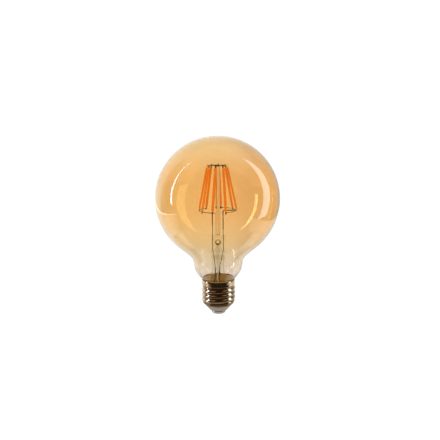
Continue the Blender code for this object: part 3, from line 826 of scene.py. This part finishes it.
def round_cutter(name, radius, low, high, x=0.0, sides=32):
    """A cutter for an upright round hole between two heights."""
    half = (high - low) / 2
    mesh = turned_mesh(name, [(0, half), (radius, half), (radius, -half), (0, -half)], sides, closed=False)
    return cutter_from(mesh, (x, 0, low + half))


def build_stem():
    """Flared tube and press: a smooth loft, hollow below, with the blow hole in the press."""
    tube, bore_r, wide, top = (
        size / MM for size in (STEM_TUBE_RADIUS, STEM_BORE_RADIUS, PRESS_HALF_WIDTH, PRESS_TOP_Z)
    )
    knots = [
        (9.3, 9.3, 2.0, 19.9),
        (8.3, 8.3, 2.0, 22.0),
        (6.7, 6.7, 2.0, 26.0),
        (5.4, 5.4, 2.0, 31.0),
        (tube, tube, 2.0, 37.0),
        (tube, tube, 2.0, 46.0),
        (wide - 0.3, 4.5, 2.0, 50.0),
        (wide - 0.1, 3.2, 2.4, 53.0),
        (wide, 2.2, 2.8, 56.0),
        (wide, 2.1, 2.8, top - 0.8),
        (wide - 0.15, 1.9, 2.7, top - 0.3),
        (wide - 0.6, 1.4, 2.5, top),
    ]
    sides = 72
    outer = []
    for width, depth, squareness, z in smooth_sections(knots, 6):
        section = [oval_point(width, depth, squareness, angle) for angle in ring_angles(sides)]
        outer.append([Vector((x, y, z)) * MM for x, y in section])
    bore_knots = [
        (8.4, 19.9),
        (7.4, 22.0),
        (5.8, 26.0),
        (4.5, 31.0),
        (bore_r, 37.0),
        (bore_r, 46.0),
        (3.8, 49.0),
        (2.5, 51.0),
    ]
    bore = [(8.9, 18.5), *smooth_sections(bore_knots, 5)]
    hollow = turned_mesh("bore_cut", in_mm((0, 18.5), *bore, (0, 51.9)), sides, closed=False)
    throat = [(1.0, 1.85), (1.5, 1.4), (1.62, 0.6), (BLOW_HOLE_RADIUS / MM, 0.0), (1.95, -0.25)]
    throat = in_mm((0.0, 1.9), *throat, (2.3, -0.45), (2.3, -2.5), (0.0, -2.5))
    blow = turned_mesh("blow_cut", throat, 48, closed=False)
    cutters = [
        cutter_from(hollow),
        round_cutter("seat_cut", EXHAUST_RADIUS + EXHAUST_GAP, BLOW_HOLE_Z - 7 * MM, BLOW_HOLE_Z),
        cutter_from(blow, (0, -1.95 * MM, BLOW_HOLE_Z), (-pi / 2, 0, 0)),
    ]
    for sign in (-1, 1):
        channel = ("channel_cut", LEAD_WIRE_RADIUS + CHANNEL_GAP, PRESS_TOP_Z - 13 * MM, PRESS_TOP_Z + 1 * MM)
        cutters.append(round_cutter(*channel, x=sign * FRAME_WIRE_X, sides=16))
    obj = new_piece("stem_glass", lofted_mesh("stem_glass", outer), "clear_glass", "stem_flare")
    apply_booleans(obj, cutters)
    obj.data.materials.clear()
    obj.data.materials.append(FINISHES["clear_glass"])
    obj.data.shade_smooth()
    obj.data.set_sharp_from_angle(angle=radians(40))


def build_blow_lip():
    """The rounded, thickened rim that blowing the hole leaves on the press."""
    middle = BLOW_HOLE_RADIUS + 0.05 * MM
    outline = arc_points((middle, 0.0), BLOW_LIP_RADIUS, 180, -180, 20)[:-1]

    def sagging(r, angle, z):
        """Thickest at the bottom, where the molten glass ran."""
        thickness = 1.35 - 0.65 * sin(angle)
        return middle + (r - middle) * thickness, z * thickness

    mesh = turned_mesh("blow_lip", outline, 48, shape=sagging)
    turn = Matrix.Rotation(pi / 2, 4, "X")
    mesh.transform(Matrix.Translation((0.0, -PRESS_HALF_DEPTH, BLOW_HOLE_Z)) @ turn)
    new_piece("blow_lip", mesh, "clear_glass", finish="lip_glass")


def build_exhaust_tube():
    """Thin tube with a melted rim under the blow hole, drawn to a closed tip at its lower end."""
    top = BLOW_HOLE_Z - BLOW_HOLE_RADIUS - EXHAUST_GAP
    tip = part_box("exhaust_tube")[0].z
    low, wide = tip / MM, EXHAUST_RADIUS / MM
    middle = (EXHAUST_RADIUS + EXHAUST_BORE_RADIUS) / 2
    lip = arc_points((middle, top - 0.33 * MM), (EXHAUST_RADIUS - EXHAUST_BORE_RADIUS) / 2, 180, 0, 6)
    shoulder = (EXHAUST_RADIUS, tip + 3.2 * MM)
    drip = curve_points((wide, low + 3.2), (wide, low + 1.6), (0.6, low + 0.9), (0.22, low + 0.15), 10)
    outline = [(0.0, tip + 2.2 * MM), (0.5 * MM, tip + 2.5 * MM), (EXHAUST_BORE_RADIUS, tip + 3.6 * MM)]
    outline += [*lip, shoulder, *drip, (0.0, tip)]
    mesh = turned_mesh("exhaust_glass", outline, 32, closed=False)
    new_piece("exhaust_glass", mesh, "clear_glass", "exhaust_tube")


def build_rod():
    """Solid rod, a touch slimmer half way up, with rounded ends."""
    low, high = (corner.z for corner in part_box("centre_rod"))
    bottom, wide, bead = low / MM, ROD_RADIUS / MM, 0.6 * MM
    outline = [(0.0, low), (1.7 * MM, low)]
    outline += curve_points((1.7, bottom), (wide, bottom + 0.1), (wide, bottom + 0.4), (wide, bottom + 1), 5)
    outline += [(ROD_RADIUS * 0.985, low + 20 * MM), (ROD_RADIUS, high - 3 * MM)]
    outline += arc_points((ROD_RADIUS - bead, high - bead), bead, 0, 90, 5)
    outline.append((0.0, high))
    mesh = turned_mesh("rod_glass", outline, 40, closed=False)
    new_piece("rod_glass", mesh, "clear_glass", "centre_rod", finish="rod_glass")


# Light engine


def star_azimuths():
    return [STAR_FIRST_AZIMUTH + STAR_SPACING * i for i in range(len(FOOT_AZIMUTHS))]


def joined(name, meshes):
    """One mesh from several."""
    build = bmesh.new()
    for mesh in meshes:
        build.from_mesh(mesh)
        bpy.data.meshes.remove(mesh)
    mesh = bpy.data.meshes.new(name)
    build.to_mesh(mesh)
    build.free()
    mesh.shade_smooth()
    return mesh


def build_star():
    """Hub with eight wire arms that bend down to the filaments' upper tabs."""
    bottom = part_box("top_star")[0].z
    hub_low = 115.1 * MM
    outline = [(0.0, hub_low + 1.2 * MM), (1.2 * MM, hub_low + 1.2 * MM)]
    outline += arc_points((1.5 * MM, hub_low + 0.8 * MM), 0.4 * MM, 90, 0, 5)
    outline += arc_points((1.65 * MM, hub_low + 0.25 * MM), 0.25 * MM, 0, -90, 4)
    outline.append((0.0, hub_low))
    parts = [turned_mesh("hub", outline, 40, closed=False)]
    for azimuth in star_azimuths():
        corners = [
            at_azimuth(1.45 * MM, azimuth, STAR_Z),
            at_azimuth(STAR_ARM_RADIUS, azimuth, STAR_Z),
            at_azimuth(STAR_ARM_RADIUS, azimuth, max(bottom, STAR_Z - STAR_LEG_LENGTH)),
        ]
        parts.append(tube_mesh("arm", smooth_path(corners, 0.6 * MM), RING_WIRE_RADIUS))
    new_piece("star_metal", joined("star_metal", parts), "nickel_wire", "top_star")


def on_filament(top_azimuth, foot_azimuth):
    """Matrix at a filament's middle: Z up along it, X across its width, Y towards the bulb's axis."""
    top = at_azimuth(FILAMENT_TOP.x, top_azimuth, FILAMENT_TOP.y)
    foot = at_azimuth(FILAMENT_FOOT.x, foot_azimuth, FILAMENT_FOOT.y)
    middle = (top + foot) / 2
    along = (top - foot).normalized()
    across = along.cross(Vector((middle.x, middle.y, 0.0))).normalized()
    inward = along.cross(across)
    rotation = Matrix((across, inward, along)).transposed().to_4x4()
    return Matrix.Translation(middle) @ rotation


def strip_mesh(name, seed):
    """One phosphor strip: crowned, slightly uneven along its length, with rounded ends."""
    half = FILAMENT_LENGTH / 2
    sides, rows = 20, 96
    loops = []
    for row in range(rows + 1):
        z = -half + FILAMENT_LENGTH * row / rows
        from_end = min(half - z, z + half)
        taper = min(1.0, (max(from_end, 0.0) / (0.5 * MM))) ** 0.5
        swell = 0.96 + 0.035 * noise.noise(Vector((seed * 7.3, z * 900, 0.0)))
        scale = swell * (0.55 + 0.45 * taper)
        section = [oval_point(FILAMENT_WIDTH / 2, FILAMENT_DEPTH / 2, 2.6, a) for a in ring_angles(sides)]
        loops.append([(x * scale, y * scale, z) for x, y in section])
    return lofted_mesh(name, loops)


def tab_mesh(name, sign):
    """A stamped tab: a pinched strip with rounded corners and a small weld dimple."""
    half = TAB_LENGTH / 2
    sides, rows = 16, 18
    loops = []
    for row in range(rows + 1):
        z = -half + TAB_LENGTH * row / rows
        outward = sign * z / half
        width = TAB_WIDTH / 2 * (1.0 - 0.22 * max(outward, 0.0) ** 2)
        end = min(half - z, z + half) / (0.16 * MM)
        width *= 0.7 + 0.3 * min(1.0, max(end, 0.0)) ** 0.5
        dimple = 0.3 * exp(-(((outward - 0.45) / 0.22) ** 2))
        depth = TAB_THICKNESS / 2 * (1 - dimple)
        section = [oval_point(width, depth, 4.0, angle) for angle in ring_angles(sides)]
        loops.append([(x, y, z) for x, y in section])
    return lofted_mesh(name, loops)


def build_filaments():
    """Eight strips between the star and the rings, each with a tab at either end."""
    tab_centre = (FILAMENT_LENGTH + TAB_LENGTH) / 2 + TAB_GAP
    for number, (top_azimuth, foot_azimuth) in enumerate(zip(star_azimuths(), FOOT_AZIMUTHS), start=1):
        at = on_filament(top_azimuth, foot_azimuth)
        mesh = strip_mesh(f"filament_{number}_strip", number)
        mesh.transform(at)
        new_piece(f"filament_{number}_strip", mesh, "phosphor", f"filament_{number}")
        for end, sign in (("upper", 1), ("lower", -1)):
            name = f"filament_{number}_{end}"
            mesh = tab_mesh(f"{name}_clip", sign)
            mesh.transform(at @ Matrix.Translation((0, 0, sign * tab_centre)))
            new_piece(f"{name}_clip", mesh, "nickel_wire", f"{name}_tab")


def bead_mesh(name, place, size):
    """A small weld or solder bead, a little flattened."""
    build = bmesh.new()
    bmesh.ops.create_uvsphere(build, u_segments=16, v_segments=10, radius=1.0)
    for vert in build.verts:
        vert.co = Vector(place) + Vector(c * s for c, s in zip(vert.co, size))
    return mesh_from(build, name)


def build_rings():
    """Two half rings of wire under the filaments, one for each side of the circuit."""
    count = 72
    for side, (start, end) in RING_ANGLES.items():
        azimuths = [start + (end - start) * i / count for i in range(count + 1)]
        points = [at_azimuth(LOWER_RING_RADIUS, azimuth, LOWER_RING_Z) for azimuth in azimuths]
        mesh = tube_mesh(f"ring_wire_{side}", points, RING_WIRE_RADIUS)
        new_piece(f"ring_wire_{side}", mesh, "nickel_wire", f"lower_ring_{side}")


def build_frame_wires():
    """Stiff wires that rise in front of the press leads, welded to them, and turn out to the rings."""
    reach = LOWER_RING_RADIUS - RING_WIRE_RADIUS - TAB_GAP
    ends = (("left", -1, 69.8 * MM, -15), ("right", 1, 66.6 * MM, 88))
    for side, sign, foot_z, azimuth in ends:
        x = sign * FRAME_WIRE_X
        corners = [(x, -FRAME_WIRE_FORWARD, foot_z), (x, -FRAME_WIRE_FORWARD, LOWER_RING_Z)]
        corners.append(at_azimuth(reach, azimuth, LOWER_RING_Z))
        mesh = tube_mesh(f"support_wire_{side}", smooth_path(corners, 1.1 * MM), FRAME_WIRE_RADIUS)
        new_piece(f"support_wire_{side}", mesh, "nickel_wire", f"frame_wire_{side}")
        for number, height in enumerate((0.5, 2.3), start=1):
            place = (x, -FRAME_WIRE_FORWARD / 2, foot_z + height * MM)
            mesh = bead_mesh(f"weld_{side}_{number}", place, (0.4 * MM, 0.45 * MM, 0.3 * MM))
            new_piece(f"weld_{side}_{number}", mesh, "nickel_wire")


def build_leads():
    """Thin leads through the press, and sleeved ones from there down to the driver."""
    routes = {
        "press_lead_left": ((-4.1, 0, 73.4), (-4.1, 0, 50.2), (-3.2, -0.2, 46.5), (-2.3, -0.4, 37.4)),
        "press_lead_right": ((4.1, 0, 70.2), (4.1, 0, 50.2), (3.1, -0.6, 46.5), (0.9, -2.4, 38.4)),
        "sleeved_lead_left": ((-2.3, -0.4, 37.0), (-2.3, -0.9, 27.5), (-3.6, -1.0, 24.5), (-3.6, -0.9, 22.4)),
        "sleeved_lead_right": ((0.9, -2.4, 38.0), (-0.9, -2.7, 28.0), (0.6, -1.6, 24.5), (0.6, -0.9, 22.4)),
    }
    leads = {
        "press_lead_left": ("stem_lead_left", "nickel_wire", "nickel_wire", LEAD_WIRE_RADIUS),
        "press_lead_right": ("stem_lead_right", "nickel_wire", "nickel_wire", LEAD_WIRE_RADIUS),
        "sleeved_lead_left": ("outer_lead_left", "wire_insulation", "wire_insulation", DARK_SLEEVE_RADIUS),
        "sleeved_lead_right": ("outer_lead_right", "wire_insulation", "pale_sleeve", PALE_SLEEVE_RADIUS),
    }
    for name, (node, slot, finish, radius) in leads.items():
        corners = [Vector(point) * MM for point in routes[name]]
        mesh = tube_mesh(name, smooth_path(corners, 1.2 * MM), radius)
        new_piece(name, mesh, slot, node, finish=finish)


# Screw cap


def thread_height(angle, z):
    """How far the rolled right-hand thread stands out of its root: round crests and tighter grooves."""
    inside = min(THREAD_TOP_Z - z, z - THREAD_BOTTOM_Z)
    strength = min(max(inside / (1.6 * MM), 0.0), 1.0)
    strength = strength * strength * (3 - 2 * strength)
    turn = (z - THREAD_CREST_Z) / THREAD_PITCH - angle / (2 * pi)
    wave = 0.5 + 0.5 * cos(2 * pi * turn)
    return (THREAD_CREST_RADIUS - THREAD_ROOT_RADIUS) * wave**0.8 * strength


def build_cap():
    """Rolled shell with its real wall: turned-out rim, band, thread and curled end."""
    band, root = CAP_BAND_RADIUS / MM, THREAD_ROOT_RADIUS / MM
    top, bottom = THREAD_TOP_Z / MM, THREAD_BOTTOM_Z / MM
    outer = [(CAP_BAND_RADIUS - 0.06 * MM, CAP_RIM_Z)]
    outer += [(CAP_BAND_RADIUS, CAP_RIM_Z - down * MM) for down in (0.08, 1, 2)]
    outer.append((CAP_BAND_RADIUS, THREAD_TOP_Z + 1.5 * MM))
    outer += curve_points((band, 23.9), (band, 23.3), (12.5, 23.1), (root, top), 8)
    rows = 120
    height = THREAD_BOTTOM_Z - THREAD_TOP_Z
    outer += [(THREAD_ROOT_RADIUS, THREAD_TOP_Z + height * i / rows) for i in range(1, rows + 1)]
    outer += curve_points((root, bottom), (12.1, 8.7), (11.9, 8.1), (10.9, 8.0), 10)
    inner = offset_outline(outer, -CAP_WALL)

    def threaded(r, angle, z):
        return r + thread_height(angle, z), z

    mesh = turned_mesh("cap_metal", [*outer, *reversed(inner)], 192, shape=threaded)
    obj = new_piece("cap_metal", mesh, "cap_nickel", "cap_shell")
    obj.data.set_sharp_from_angle(angle=radians(50))


def build_insulator():
    """Moulded cone between the shell's curled end and the contact."""
    outline = in_mm((11.3, 10.2), (11.3, 9.3), (10.4, 8.5), (10.4, 7.7), (10.6, 7.3), (7.3, 3.5))
    outline += in_mm((6.8, 3.0), (2.8, 3.0), (2.8, 5.2), (3.4, 5.6), (8.6, 8.6), (9.6, 10.2))
    mesh = turned_mesh("insulator_body", rounded(outline, 0.25 * MM), 96)
    new_piece("insulator_body", mesh, "insulator", "cap_insulator")


def build_contact():
    """Pressed contact button, and the pin that holds the live lead in it."""
    outline = in_mm((2.4, 5.0), (2.4, 2.65), (5.5, 2.65), (5.65, 1.7), (5.2, 0.7), (4.2, 0.0), (2.7, 0.0))
    outline += in_mm((2.7, 0.9), (1.3, 0.9), (1.3, 5.0))
    mesh = turned_mesh("contact_button", rounded(outline, 0.35 * MM), 80)
    new_piece("contact_button", mesh, "contact_metal", "centre_contact")
    outline = in_mm((0.7, 7.6), (0.9, 7.3), (0.9, 0.6), (2.4, 0.6), (2.4, 0.0))
    foot, tip = (0.0, 0.0), (0.0, 7.6 * MM)
    outer = [(r, z) for r, z in rounded([*outline, foot, tip], 0.12 * MM) if r > ON_AXIS]
    mesh = turned_mesh("contact_pin", [tip, *outer, foot], 48, closed=False)
    new_piece("contact_pin", mesh, "contact_metal", "contact_nail")


def build_cement():
    """Cement fillet between the neck and the cap, with a hand-run uneven surface."""
    outline = in_mm((12.45, 28.0), (12.75, 27.8), (12.7, 27.55), (12.2, 27.5), (12.2, 23.4), (11.5, 22.2))
    outline += in_mm((11.5, 20.4), (10.9, 20.4), (10.9, 24.9), (11.35, 26.75))

    def uneven(r, angle, z):
        place = Vector((cos(angle) * 9, sin(angle) * 9, z * 900))
        amount = noise.noise(place) * 0.07 * MM
        return r + (amount if r > 12 * MM else 0.0), z + (amount if z > 27 * MM else 0.0)

    mesh = turned_mesh("cement_ring", rounded(outline, 0.12 * MM, 3), 180, shape=uneven)
    new_piece("cement_ring", mesh, "cement", "basing_cement")


# Driver parts

CARRIED = {
    "driver_board": "circuit_board",
    "wireless_board": "circuit_board",
    "driver_chip": "chip_black",
    "bridge_rectifier": "chip_black",
    "module_header": "chip_black",
    "bulk_capacitor": "capacitor_sleeve",
    "inductor_core": "ferrite",
    "inductor_winding": "copper",
    "live_lead": "copper",
    "shell_lead": "copper",
    "wireless_shield": "solder",
    "shell_solder": "solder",
    "fusible_resistor": "resistor_body",
    "aerial_wire": "wire_insulation",
    "driver_liner": "liner_plastic",
}


def finish_carried():
    """Gives the CAD solids that stay as they are their finishes."""
    for name, slot in CARRIED.items():
        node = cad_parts[name]
        node.data.materials.clear()
        node.data.materials.append(FINISHES[slot])


# Studio


def build_floor():
    """Floor that gives off its own light, so that it stays even and white."""
    mesh = bpy.data.meshes.new("floor")
    build = bmesh.new()
    bmesh.ops.create_grid(build, x_segments=1, y_segments=1, size=FLOOR_HALF_SIZE)
    build.to_mesh(mesh)
    build.free()
    shader = Shader("floor_white")
    shader.set(Base_Color=FLOOR_BASE, Roughness=1.0, Specular_IOR_Level=0.0, Emission_Strength=1.0)
    azimuth, reach = shader.azimuth(shader.coords), shader.distance(shader.coords)
    sideways = shader.coordinate(shader.coords, "X")

    def by_azimuth(stops):
        return shader.tones(azimuth, stops, -180, 180)

    def by_reach(stops):
        return shader.tones(reach, stops, 0.0, TABLE_REACH)

    def by_side(stops):
        return shader.tones(sideways, stops, -1.0, 1.0)

    # The near table is dimmed close to the bulb by NEAR_REACH: painted shadow
    near = shader.product(by_azimuth(NEAR_TABLE), by_reach(NEAR_REACH))
    far = shader.product(by_azimuth(FAR_TABLE), by_reach(FAR_REACH))
    table = shader.product(shader.lightest(near, far), by_side(ON_TABLE))
    beyond = shader.product(by_azimuth(WALL_TONES), by_side(OFF_TABLE))
    skirt = shader.product(by_reach(TABLE_SKIRT), by_azimuth(SKIRT_SIDES))
    under = shader.lightest(skirt, by_reach(TABLE_CORE))
    shader.glow(shader.white_or(shader.lightest(shader.lightest(table, beyond), under)))
    mesh.materials.append(shader.material)
    new_object("floor", mesh)


def build_world():
    """White all round to look at, and in reflections a dark room before a pale backdrop."""
    world = bpy.data.worlds.new("studio")
    bpy.context.scene.world = world
    world.use_nodes = True
    nodes = Nodes(world.node_tree)
    direction = nodes.add("ShaderNodeTexCoord").outputs["Generated"]
    depth, height = nodes.coordinate(direction, "Y"), nodes.coordinate(direction, "Z")
    walls = nodes.product(
        nodes.tones(nodes.azimuth(direction), WALL_TONES, -180, 180),
        nodes.tones(height, WALL_FALLOFF, -1.0, 1.0),
    )
    ceiling = nodes.product(
        nodes.tones(height, CEILING_TONES, -1.0, 1.0),
        nodes.tones(depth, CEILING_DEPTH, -1.0, 1.0),
    )
    tone = nodes.white_or(nodes.lightest(walls, ceiling))
    nodes.link(tone, nodes.tree.nodes["Background"].inputs["Color"])


def build_panel(name, corners, radiance, colour):
    """A lit panel that only reflections show, from its corners in millimetres."""
    build = bmesh.new()
    rim = [build.verts.new(Vector(corner) * MM) for corner in corners]
    middle = build.verts.new(sum((Vector(corner) for corner in corners), Vector()) * MM / len(corners))
    for first, second in zip(rim, rim[1:] + rim[:1]):
        build.faces.new((middle, first, second))
    mesh = mesh_from(build, name, smooth=False)
    shader = Shader(name)
    shader.material.cycles.emission_sampling = "NONE"
    light = shader.add("ShaderNodeEmission")
    light.inputs["Color"].default_value = (*colour, 1.0)
    light.inputs["Strength"].default_value = radiance
    clear = shader.add("ShaderNodeBsdfTransparent")
    look = shader.add("ShaderNodeMixShader")
    shader.link(shader.mirrored(), look.inputs["Fac"])
    shader.link(clear.outputs["BSDF"], look.inputs[1])
    shader.link(light.outputs["Emission"], look.inputs[2])
    shader.link(look.outputs["Shader"], shader.tree.nodes["Material Output"].inputs["Surface"])
    mesh.materials.append(shader.material)
    panel = new_object(name, mesh)
    for ray in ("camera", "diffuse", "shadow"):
        setattr(panel, f"visible_{ray}", False)


def build_lights():
    """A strip to the left and a tall softbox to the right, with a soft key light for the matt parts."""
    build_panel("left_strip", LEFT_STRIP, radiance=9.0, colour=(0.82, 1.05, 1.6))
    build_panel("right_softbox", RIGHT_SOFTBOX, radiance=2.4, colour=(0.72, 0.98, 1.2))
    key = bpy.data.lights.new("key", "AREA")
    key.size = 0.5
    key.energy = 2.0
    obj = new_object("key", key)
    obj.location = (0.4, -0.5, 0.7)
    obj.rotation_euler = (Vector((0, 0, CENTRE_Z)) - obj.location).to_track_quat("-Z", "Y").to_euler()
    for ray in ("camera", "glossy", "transmission"):
        setattr(obj, f"visible_{ray}", False)


def build_camera():
    """The camera in front, a little higher than the bulb and tilted down to it."""
    data = bpy.data.cameras.new("camera")
    data.lens = LENS
    data.sensor_width = SENSOR
    data.clip_start = 0.01
    camera = new_object("camera", data)
    aim = Matrix.Rotation(radians(90 - CAMERA_PITCH), 4, "X") @ Matrix.Rotation(radians(-CAMERA_ROLL), 4, "Z")
    camera.matrix_world = Matrix.Translation(CAMERA_PLACE) @ aim
    bpy.context.scene.camera = camera


FINISHES = make_finishes()
build_camera()
build_globe()
build_stem()
build_blow_lip()
build_exhaust_tube()
build_rod()
build_star()
build_filaments()
build_rings()
build_frame_wires()
build_leads()
build_cap()
build_insulator()
build_contact()
build_cement()
finish_carried()
build_floor()
build_world()
build_lights()
bpy.context.scene.view_settings.view_transform = "Standard"
